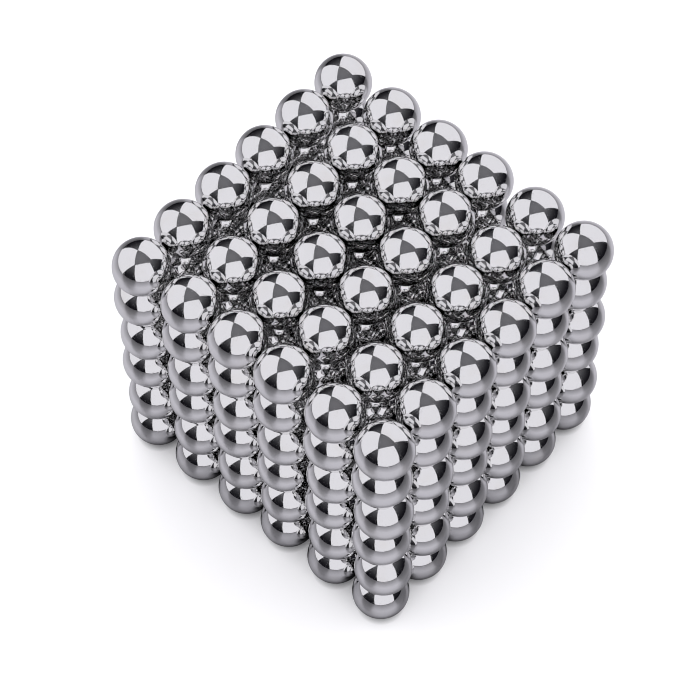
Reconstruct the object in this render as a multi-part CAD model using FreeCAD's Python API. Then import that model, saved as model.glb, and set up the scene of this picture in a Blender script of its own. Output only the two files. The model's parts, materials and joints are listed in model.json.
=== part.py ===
import FreeCAD, Part

import os

# A desk sculpture of loose magnet balls, stacked into a cube. Each ball is a separate solid:
# a sintered magnet core whose nickel plating is bonded to it. Nothing but magnetism holds them.
#
# Frame, in millimetres: +Z up, the surface it stands on at Z = 0, and the origin under the
# middle of the cube. A row runs along X. The rows of one layer lie side by side along Y, and
# the layers are stacked along Z.

BALL_DIAMETER = 5.0
BALLS_PER_ROW = 6
LAYER_COUNT = 6

# Centre to centre along a row. The balls all but touch: the gap is room for the rows to slide.
BALL_PITCH = 5.05

# Centre to centre from each row to the next, front to back. The rows of a hand-built cube stand
# a little apart, unevenly. The pattern repeats after three rows, so opposite sides of the
# hexagonal tube that a layer curls into are equal, and the tube closes.
NEAR_SPACING = 5.22
WIDE_SPACING = 5.53
MIDDLE_SPACING = BALL_PITCH
ROW_SPACINGS = (NEAR_SPACING, WIDE_SPACING, MIDDLE_SPACING, NEAR_SPACING, WIDE_SPACING)

# Centre to centre from each layer to the next.
LAYER_PITCH = 5.02

# How far every second layer is shifted against its neighbours. Both are halved about the middle.
STAGGER_X = 0.08
STAGGER_Y = 0.33

OUTPUT_FOLDER = "parts"


def layer_shift(layer):
    """X and Y shift of a layer, counted from 1 at the bottom. Odd layers go one way, even the other."""
    side = 0.5 if layer % 2 else -0.5
    return side * STAGGER_X, side * STAGGER_Y


def row_offsets():
    """Y of each row of a layer, about the middle of the layer."""
    offsets = [-sum(ROW_SPACINGS) / 2]
    for spacing in ROW_SPACINGS:
        offsets.append(offsets[-1] + spacing)
    return offsets


def ball(x, y, z):
    """One ball, with its poles on a vertical line, so that it rests on a pole."""
    return Part.makeSphere(BALL_DIAMETER / 2, FreeCAD.Vector(x, y, z))


def row_of_balls(layer, row_y):
    """The separate balls of one row, as one group."""
    shift_x, shift_y = layer_shift(layer)
    first_x = shift_x - BALL_PITCH * (BALLS_PER_ROW - 1) / 2
    z = BALL_DIAMETER / 2 + LAYER_PITCH * (layer - 1)
    balls = [ball(first_x + BALL_PITCH * i, row_y + shift_y, z) for i in range(BALLS_PER_ROW)]
    return Part.makeCompound(balls)


def main():
    os.makedirs(OUTPUT_FOLDER, exist_ok=True)
    for layer in range(1, LAYER_COUNT + 1):
        for row, row_y in enumerate(row_offsets(), start=1):
            shape = row_of_balls(layer, row_y)
            shape.exportStep(f"{OUTPUT_FOLDER}/layer_{layer}_row_{row}.step")


main()
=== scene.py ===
import json
import math
import random

import bmesh
import bpy
from mathutils import Matrix, Quaternion, Vector


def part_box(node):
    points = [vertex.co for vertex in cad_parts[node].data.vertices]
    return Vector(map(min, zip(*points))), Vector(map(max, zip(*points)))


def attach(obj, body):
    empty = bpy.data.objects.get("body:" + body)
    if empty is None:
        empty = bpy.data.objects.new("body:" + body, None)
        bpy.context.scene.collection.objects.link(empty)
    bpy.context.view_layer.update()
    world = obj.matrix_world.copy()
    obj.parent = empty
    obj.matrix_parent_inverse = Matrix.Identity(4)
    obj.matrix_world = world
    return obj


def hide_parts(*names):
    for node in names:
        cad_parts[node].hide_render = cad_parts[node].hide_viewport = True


# A cube of bright nickel-plated magnet balls on a plain white table. Lengths are in metres.

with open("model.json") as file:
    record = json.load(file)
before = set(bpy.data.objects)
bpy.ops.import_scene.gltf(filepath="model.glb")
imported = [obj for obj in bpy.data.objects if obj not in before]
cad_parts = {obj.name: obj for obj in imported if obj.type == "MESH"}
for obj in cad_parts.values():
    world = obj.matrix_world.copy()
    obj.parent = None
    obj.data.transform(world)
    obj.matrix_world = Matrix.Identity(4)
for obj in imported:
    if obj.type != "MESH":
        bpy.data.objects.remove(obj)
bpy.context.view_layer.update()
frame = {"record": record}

# ---------------------------------------------------------------- the balls
BALLS_PER_ROW = 6
CELLS_PER_SIDE = 20  # quads along each side of the cube that a ball is rounded from
MARKS_SEED = 216
MARKS_SPREAD = 40.0  # ball radii: how far out in the noise a ball's marks may be taken from

# ---------------------------------------------------------------- nickel plating
# Sizes across the surface are in ball radii, depths are in metres. A detail is how many times the
# noise is laid over itself again at half the size. A span is two values of the noise: below the
# first there is no mark, and above the second it is at its full strength.
NICKEL_COLOUR = (0.882, 0.880, 0.880, 1.0)
TARNISH_COLOUR = (0.862, 0.852, 0.838, 1.0)
TARNISH_SIZE = 0.9
TARNISH_DETAIL = 2.0
TARNISH_SPAN = (0.50, 0.80)
SMUDGE_SIZE = 0.35
SMUDGE_DETAIL = 4.0
SMUDGE_SPAN = (0.56, 0.78)
SMUDGE_ROUGHNESS = 0.045
GRAIN_SIZE = 0.02
GRAIN_DETAIL = 2.0
GRAIN_ROUGHNESS = 0.010
SCRATCH_LENGTH = 2.2
SCRATCH_SPACING = 0.022
SCRATCH_SPAN = (0.69, 0.77)
SCRATCH_TURNS = ((0.0, 0.0, 0.0), (0.5, 0.3, 1.1), (1.3, 0.2, 2.4))  # radians, one for each set
SCRATCH_ROUGHNESS = 0.20
SCRATCH_DEPTH = 2e-7
RIPPLE_SIZE = 0.5
RIPPLE_DETAIL = 1.0
RIPPLE_DEPTH = 9e-7

# ---------------------------------------------------------------- studio
# Three square softboxes stand on the table round the cube and lean in over it. The balls reflect them.
SOFTBOX_SIDE = 0.502
SOFTBOX_AZIMUTHS = (-125.5, 7.0, 119.5)  # degrees from +X
SOFTBOX_LEAN = 23.8  # degrees from upright
SOFTBOX_FOOT_DISTANCE = 0.38
SOFTBOX_FOOT_HEIGHT = 0.010
SOFTBOX_LIGHT = (0.822, 0.813, 0.858)

# The dark room round them, which the balls reflect as well.
CEILING_LIGHT = (0.160, 0.158, 0.172)  # straight up
HORIZON_LIGHT = (0.0058, 0.0055, 0.0080)
CEILING_FALLOFF = 2.0  # the power of the height that the ceiling's light fades with

# The camera sees the table matt white, in even light from all round, with a painted shadow right beside
# the balls.
TABLE_SIZE = 4.0
BACKDROP_RADIUS = 2.0
BACKDROP_RINGS = 24
BACKDROP_LIGHT = (1.39, 1.39, 1.39)
TABLE_COLOUR = (0.967, 0.962, 0.985)
TABLE_SHADOW_REACH = 0.0008  # how far from the balls the table is darkened by painted shadow

# The balls reflect it as a satin sheet, which mirrors a blurred studio, with painted shade near the
# balls.
SATIN_SHEEN = (0.515, 0.510, 0.531)
SATIN_BODY = (0.102, 0.100, 0.108)
SATIN_ROUGHNESS = 0.36
SATIN_EDGE_ON = 0.45  # how bright it still is seen edge on
SATIN_EDGE_START = 0.48  # where that darkening starts, from 0, seen face on, to 1, edge on
SATIN_SHADOW_REACH = 0.013  # how far from the balls painted shade darkens it
SATIN_CONTACT_REACH = 0.0016  # right under the balls painted shade darkens it further

# ---------------------------------------------------------------- camera
CAMERA_PLACE = (-0.09644, -0.08432, 0.22012)
CAMERA_FORWARD = (0.39314, 0.34952, -0.85046)
CAMERA_ROLL = -0.5  # degrees
CAMERA_SENSOR = 36.0
CAMERA_LENS = 143.47
CAMERA_REACH = (0.01, 10.0)  # from the nearest to the farthest thing it sees

# ---------------------------------------------------------------- picture
MIRROR_BOUNCES = 3  # after these a reflection ends in black, as it does deep between the balls
PICTURE_FILTER_WIDTH = 1.0  # a narrow filter keeps the edges of the reflections crisp


def ball_template():
    """A unit sphere as (points, quads), rounded from a cube so that its quads are all much alike."""
    mesh = bmesh.new()
    bmesh.ops.create_cube(mesh, size=2.0)
    bmesh.ops.subdivide_edges(mesh, edges=mesh.edges[:], cuts=CELLS_PER_SIDE - 1, use_grid_fill=True)
    for vert in mesh.verts:
        # Equal steps of angle instead of equal steps of length keep the quads even.
        even = Vector(math.tan(c * math.pi / 4) for c in vert.co)
        vert.co = even.normalized()
    mesh.verts.index_update()
    points = [vert.co.copy() for vert in mesh.verts]
    quads = [tuple(vert.index for vert in face.verts) for face in mesh.faces]
    mesh.free()
    return points, quads


def ball_centres(node):
    """The centres and the radius of the balls of a row, from the box of its CAD node."""
    low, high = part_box(node)
    radius = (high.z - low.z) / 2
    middle = (low + high) / 2
    pitch = (high.x - low.x - 2 * radius) / (BALLS_PER_ROW - 1)
    first = middle.x - pitch * (BALLS_PER_ROW - 1) / 2
    centres = [Vector((first + pitch * i, middle.y, middle.z)) for i in range(BALLS_PER_ROW)]
    return centres, radius


def random_turn(rng):
    """A random rotation, so that no two balls carry the same marks the same way up."""
    axis = Vector((rng.gauss(0, 1), rng.gauss(0, 1), rng.gauss(0, 1))).normalized()
    return Quaternion(axis, rng.uniform(0, 2 * math.pi))


def row_of_balls(node, template, material, rng):
    """One row of balls as one piece. Its ball_point attribute is what the marks on each ball follow."""
    template_points, template_quads = template
    centres, radius = ball_centres(node)
    points = []
    quads = []
    own_points = []
    for centre in centres:
        start = len(points)
        turn = random_turn(rng)
        own_shift = Vector(rng.uniform(0, MARKS_SPREAD) for _ in range(3))
        points.extend(centre + radius * p for p in template_points)
        own_points.extend(turn @ p + own_shift for p in template_points)
        quads.extend(tuple(start + i for i in quad) for quad in template_quads)
    mesh = bpy.data.meshes.new(node + "_balls")
    mesh.from_pydata(points, [], quads)
    mesh.shade_smooth()
    marks = mesh.attributes.new("ball_point", "FLOAT_VECTOR", "POINT")
    marks.data.foreach_set("vector", [c for p in own_points for c in p])
    mesh.materials.append(material)
    piece = bpy.data.objects.new(node + "_balls", mesh)
    bpy.context.scene.collection.objects.link(piece)
    return piece


def add(tree, kind, inputs=None, **settings):
    """A new shader node. Each of its inputs gets a value, or a link from another node's output."""
    node = tree.nodes.new("ShaderNode" + kind)
    for name, value in settings.items():
        setattr(node, name, value)
    for key, value in (inputs or {}).items():
        if isinstance(value, bpy.types.NodeSocket):
            tree.links.new(value, node.inputs[key])
        else:
            node.inputs[key].default_value = value
    return node


def new_material(name):
    """An empty node material, as (material, node tree, input of its surface)."""
    material = bpy.data.materials.new(name)
    material.use_nodes = True
    tree = material.node_tree
    tree.nodes.remove(tree.nodes["Principled BSDF"])
    return material, tree, tree.nodes["Material Output"].inputs["Surface"]


def noise(tree, place, size, detail):
    """Noise from 0 to 1 whose blotches are about size wide."""
    return add(tree, "TexNoise", {"Vector": place, "Scale": 1 / size, "Detail": detail}).outputs["Fac"]


def within(tree, value, span):
    """0 where the value is below the span, 1 where it is above it, and smooth between."""
    inputs = {"Value": value, "From Min": span[0], "From Max": span[1]}
    return add(tree, "MapRange", inputs, interpolation_type="SMOOTHSTEP").outputs["Result"]


def calculate(tree, operation, *values):
    """The result of a Math node."""
    return add(tree, "Math", dict(enumerate(values)), operation=operation).outputs[0]


def scratches(tree, place):
    """1 on fine straight scratches that run several ways, and 0 between them."""
    lines = 0.0
    scale = (1 / SCRATCH_SPACING, 1 / SCRATCH_SPACING, 1 / SCRATCH_LENGTH)
    for turn in SCRATCH_TURNS:
        turned = add(tree, "Mapping", {"Vector": place, "Rotation": turn}).outputs["Vector"]
        scaled = add(tree, "VectorMath", {0: turned, 1: scale}, operation="MULTIPLY").outputs["Vector"]
        streaks = within(tree, noise(tree, scaled, 1.0, 0.0), SCRATCH_SPAN)
        lines = calculate(tree, "MAXIMUM", streaks, lines)
    return lines


def nickel_plating():
    """Bright nickel with faint tarnish, smudges, plating grain, hairline scratches and slight ripple."""
    material, tree, surface = new_material("nickel_plating")
    place = add(tree, "Attribute", attribute_name="ball_point").outputs["Vector"]
    tarnish = within(tree, noise(tree, place, TARNISH_SIZE, TARNISH_DETAIL), TARNISH_SPAN)
    smudges = within(tree, noise(tree, place, SMUDGE_SIZE, SMUDGE_DETAIL), SMUDGE_SPAN)
    grain = noise(tree, place, GRAIN_SIZE, GRAIN_DETAIL)
    lines = scratches(tree, place)
    ripple = noise(tree, place, RIPPLE_SIZE, RIPPLE_DETAIL)

    tints = {"Factor": tarnish, "A": NICKEL_COLOUR, "B": TARNISH_COLOUR}
    colour = add(tree, "Mix", tints, data_type="RGBA").outputs["Result"]

    roughness = calculate(tree, "MULTIPLY", grain, GRAIN_ROUGHNESS)
    roughness = calculate(tree, "MULTIPLY_ADD", smudges, SMUDGE_ROUGHNESS, roughness)
    roughness = calculate(tree, "MULTIPLY_ADD", lines, SCRATCH_ROUGHNESS, roughness)

    height = calculate(tree, "MULTIPLY", ripple, RIPPLE_DEPTH)
    height = calculate(tree, "MULTIPLY_ADD", lines, -SCRATCH_DEPTH, height)
    bump = add(tree, "Bump", {"Height": height, "Strength": 1.0, "Distance": 1.0})

    inputs = {
        "Base Color": colour,
        "Metallic": 1.0,
        "Roughness": roughness,
        "Normal": bump.outputs["Normal"],
    }
    shader = add(tree, "BsdfPrincipled", inputs)
    tree.links.new(shader.outputs["BSDF"], surface)
    return material


def build_balls():
    template = ball_template()
    material = nickel_plating()
    rng = random.Random(MARKS_SEED)
    for body, nodes in frame["record"]["behaviour"]["bodies"].items():
        for node in nodes:
            piece = row_of_balls(node, template, material, rng)
            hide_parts(node)
            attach(piece, body)


def seen_only_by(obj, camera=False, reflections=False, light=False):
    """Which rays meet a stage object: the camera's, reflections', or those that light the table."""
    obj.visible_camera = camera
    obj.visible_glossy = reflections
    obj.visible_diffuse = light
    obj.visible_shadow = False
    obj.visible_transmission = False


def stage_mesh(name, points, faces, material):
    """A mesh that belongs to the studio and not to the object."""
    mesh = bpy.data.meshes.new(name)
    mesh.from_pydata(points, [], faces)
    mesh.materials.append(material)
    obj = bpy.data.objects.new(name, mesh)
    bpy.context.scene.collection.objects.link(obj)
    return obj


def glow(name, light, both_sides=True):
    """An even light. With both_sides off, its back is black."""
    material, tree, surface = new_material(name)
    lit = add(tree, "Emission", {"Color": (*light, 1.0)}).outputs["Emission"]
    if not both_sides:
        back = add(tree, "NewGeometry").outputs["Backfacing"]
        lit = add(tree, "MixShader", {0: back, 1: lit}).outputs[0]
    tree.links.new(lit, surface)
    return material


def build_softboxes():
    material = glow("softbox", SOFTBOX_LIGHT, both_sides=False)
    lean = math.radians(SOFTBOX_LEAN)
    foot = Vector((SOFTBOX_FOOT_DISTANCE, 0, SOFTBOX_FOOT_HEIGHT))
    across = Vector((0, SOFTBOX_SIDE / 2, 0))
    rise = Vector((-math.sin(lean), 0, math.cos(lean))) * SOFTBOX_SIDE
    corners = [foot + across, foot - across, foot - across + rise, foot + across + rise]
    for number, azimuth in enumerate(SOFTBOX_AZIMUTHS, start=1):
        turn = Matrix.Rotation(math.radians(azimuth), 3, "Z")
        panel = stage_mesh(f"softbox_{number}", [turn @ c for c in corners], [(0, 1, 2, 3)], material)
        seen_only_by(panel, reflections=True)


def with_painted_shade(tree, colour, reach):
    """The colour with painted shade: darkened where balls nearer than reach would shade it."""
    # Painted shade: ambient occlusion darkens the colour itself near the balls.
    painted_occlusion = add(tree, "AmbientOcclusion", {"Color": (*colour, 1.0), "Distance": reach})
    return painted_occlusion.outputs["Color"]


def matt_white_painted_shadow():
    """Matt white, with painted shadow only right beside the balls."""
    material, tree, surface = new_material("matt_white_painted_shadow")
    colour = with_painted_shade(tree, TABLE_COLOUR, TABLE_SHADOW_REACH)
    tree.links.new(add(tree, "BsdfDiffuse", {"Color": colour}).outputs["BSDF"], surface)
    return material


def satin():
    """A satin sheet, darker seen edge on, with painted shade where the balls are near and darker painted
    shade right under them.
    """
    material, tree, surface = new_material("satin")
    facing = add(tree, "LayerWeight").outputs["Facing"]
    span = {"Value": facing, "From Min": SATIN_EDGE_START, "To Min": 1.0, "To Max": SATIN_EDGE_ON}
    edge = add(tree, "MapRange", span).outputs["Result"]
    # Painted shade: ambient occlusion right under the balls darkens the colour.
    painted_contact_shade = add(tree, "AmbientOcclusion", {"Distance": SATIN_CONTACT_REACH}).outputs["AO"]
    edge_and_contact_shade = calculate(tree, "MULTIPLY", edge, painted_contact_shade)

    def with_edge_and_painted_shade(colour):
        inputs = {"Vector": with_painted_shade(tree, colour, SATIN_SHADOW_REACH), "Scale": edge_and_contact_shade}
        return add(tree, "VectorMath", inputs, operation="SCALE").outputs["Vector"]

    inputs = {"Color": with_edge_and_painted_shade(SATIN_SHEEN), "Roughness": SATIN_ROUGHNESS}
    sheen = add(tree, "BsdfAnisotropic", inputs, distribution="MULTI_GGX")
    body = add(tree, "BsdfDiffuse", {"Color": with_edge_and_painted_shade(SATIN_BODY)})
    both = add(tree, "AddShader", {0: sheen.outputs["BSDF"], 1: body.outputs["BSDF"]})
    tree.links.new(both.outputs["Shader"], surface)
    return material


def build_table():
    """The table twice, in the same place: as the camera sees it, and as the balls reflect it."""
    half = TABLE_SIZE / 2
    corners = [(-half, -half, 0), (half, -half, 0), (half, half, 0), (-half, half, 0)]
    seen = stage_mesh("table", corners, [(0, 1, 2, 3)], matt_white_painted_shadow())
    seen_only_by(seen, camera=True)
    reflected = stage_mesh("reflected_table", corners, [(0, 1, 2, 3)], satin())
    seen_only_by(reflected, reflections=True)


def build_backdrop():
    """A dome round everything, which the camera sees past the table and which lights the table."""
    mesh = bmesh.new()
    rings = BACKDROP_RINGS
    bmesh.ops.create_uvsphere(mesh, u_segments=2 * rings, v_segments=rings, radius=BACKDROP_RADIUS)
    mesh.verts.index_update()
    points = [vert.co.copy() for vert in mesh.verts]
    faces = [tuple(vert.index for vert in face.verts) for face in mesh.faces]
    mesh.free()
    dome = stage_mesh("backdrop", points, faces, glow("backdrop", BACKDROP_LIGHT))
    seen_only_by(dome, camera=True, light=True)


def build_world():
    """The ceiling, which the balls reflect: grey overhead and nearly black low down."""
    world = bpy.data.worlds.new("studio")
    bpy.context.scene.world = world
    world.cycles_visibility.camera = False
    world.cycles_visibility.diffuse = False
    world.use_nodes = True
    tree = world.node_tree
    direction = add(tree, "TexCoord").outputs["Generated"]
    height = add(tree, "SeparateXYZ", {0: direction}).outputs["Z"]
    tints = {
        "Factor": calculate(tree, "POWER", height, CEILING_FALLOFF),
        "A": (*HORIZON_LIGHT, 1.0),
        "B": (*CEILING_LIGHT, 1.0),
    }
    light = add(tree, "Mix", tints, data_type="RGBA").outputs["Result"]
    tree.links.new(light, tree.nodes["Background"].inputs["Color"])


def build_camera():
    data = bpy.data.cameras.new("camera")
    data.sensor_width = CAMERA_SENSOR
    data.lens = CAMERA_LENS
    data.clip_start, data.clip_end = CAMERA_REACH
    camera = bpy.data.objects.new("camera", data)
    camera.rotation_mode = "QUATERNION"
    camera.location = CAMERA_PLACE
    level = Vector(CAMERA_FORWARD).to_track_quat("-Z", "Y")
    camera.rotation_quaternion = level @ Quaternion((0, 0, 1), math.radians(CAMERA_ROLL))
    bpy.context.scene.collection.objects.link(camera)
    bpy.context.scene.camera = camera


def set_picture():
    """Tones as the light gives them, crisp edges, and mirrors that aren't blurred."""
    scene = bpy.context.scene
    scene.view_settings.view_transform = "Standard"
    scene.cycles.filter_width = PICTURE_FILTER_WIDTH
    scene.cycles.blur_glossy = 0.0
    scene.cycles.glossy_bounces = MIRROR_BOUNCES


build_camera()
build_balls()
build_world()
build_softboxes()
build_table()
build_backdrop()
set_picture()
